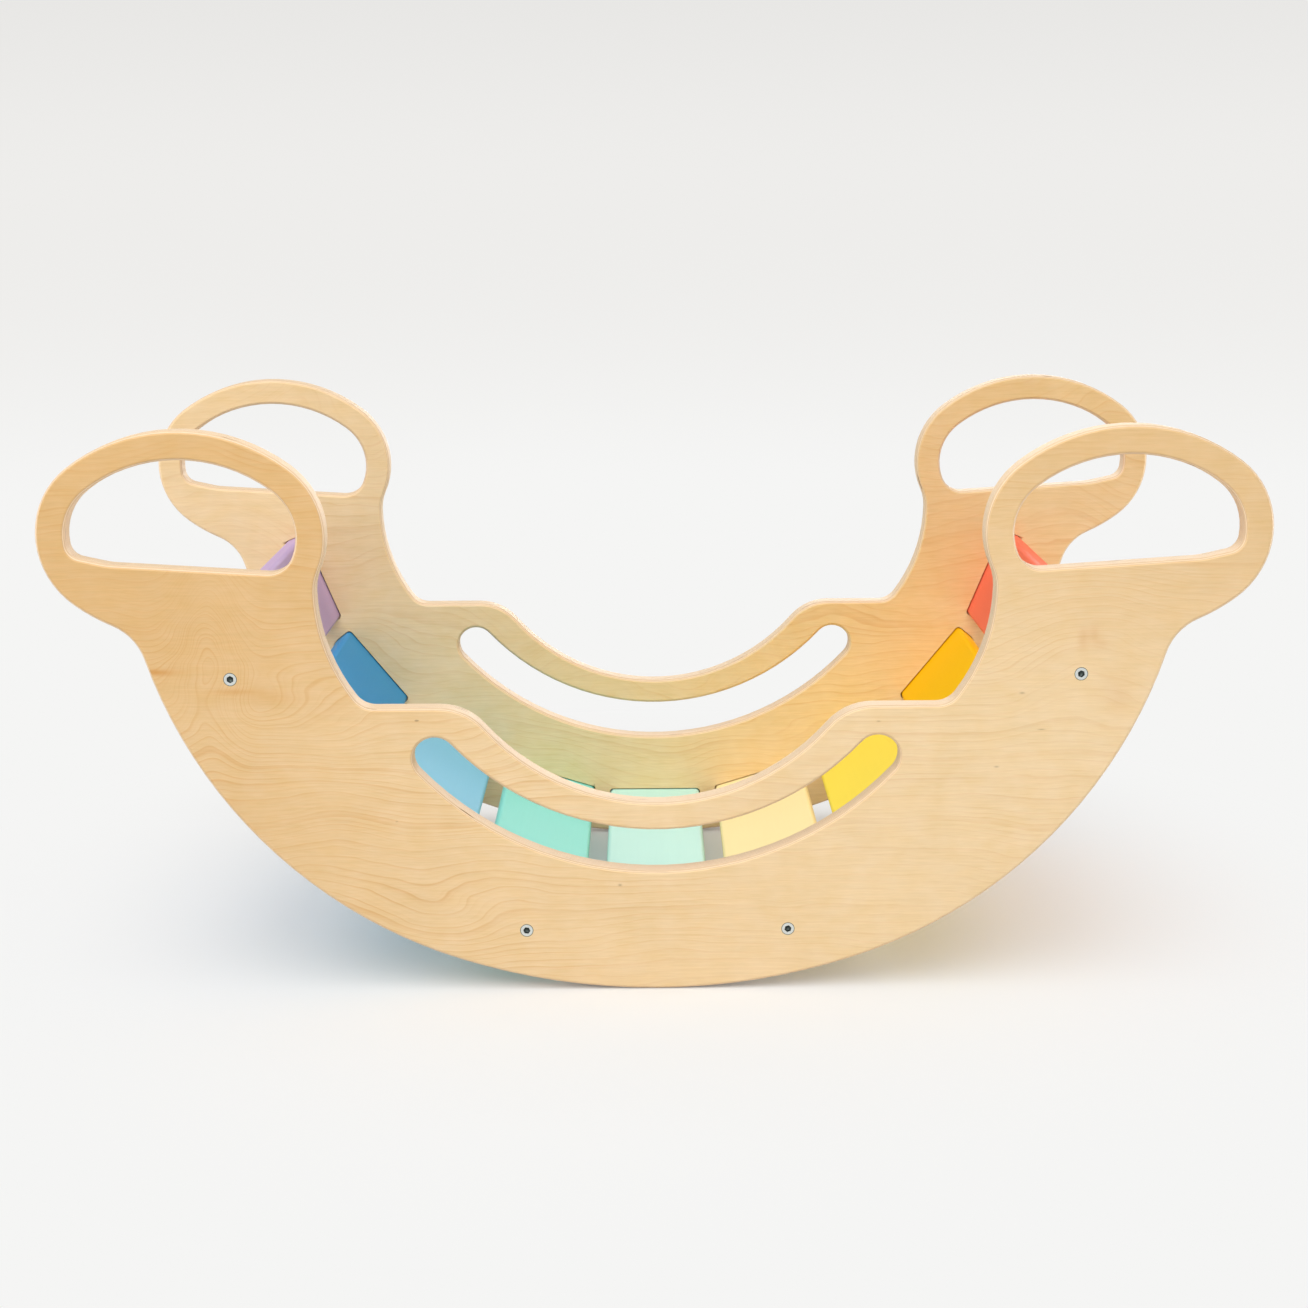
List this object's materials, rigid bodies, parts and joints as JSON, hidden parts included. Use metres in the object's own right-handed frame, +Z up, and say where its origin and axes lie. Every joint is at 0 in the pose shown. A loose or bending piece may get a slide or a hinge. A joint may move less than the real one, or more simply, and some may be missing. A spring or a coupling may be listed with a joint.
{
  "type": "balance rocker",
  "caption": "Child's balance rocker: plywood side panels with a curved lower edge, oval hand grips and a cradle cut-out, joined by painted wooden slats.",
  "frame": {"origin": "on the floor, under the middle of the rocker, at the height where its lower edges touch", "axes": "+X along the length, towards the coral slat; +Y across, from the front panel to the rear panel; +Z up"},
  "size_m": [0.8854, 0.407, 0.4208],
  "materials": {
    "birch_plywood": "clear satin lacquer on pale birch veneer, plies showing on the softened edges",
    "zinc_plated_steel": "bright zinc plating",
    "paint_lilac": "opaque satin paint on wood",
    "paint_blue": "opaque satin paint on wood",
    "paint_light_blue": "opaque satin paint on wood",
    "paint_turquoise": "opaque satin paint on wood",
    "paint_mint": "opaque satin paint on wood",
    "paint_pale_yellow": "opaque satin paint on wood",
    "paint_yellow": "opaque satin paint on wood",
    "paint_amber": "opaque satin paint on wood",
    "paint_coral": "opaque satin paint on wood"
  },
  "bodies": {
    "root": {"front_panel": "birch_plywood", "front_screws": "zinc_plated_steel", "rear_panel": "birch_plywood", "rear_screws": "zinc_plated_steel", "slat_amber": "paint_amber", "slat_blue": "paint_blue", "slat_coral": "paint_coral", "slat_light_blue": "paint_light_blue", "slat_lilac": "paint_lilac", "slat_mint": "paint_mint", "slat_pale_yellow": "paint_pale_yellow", "slat_turquoise": "paint_turquoise", "slat_yellow": "paint_yellow"}
  },
  "joints": []
}
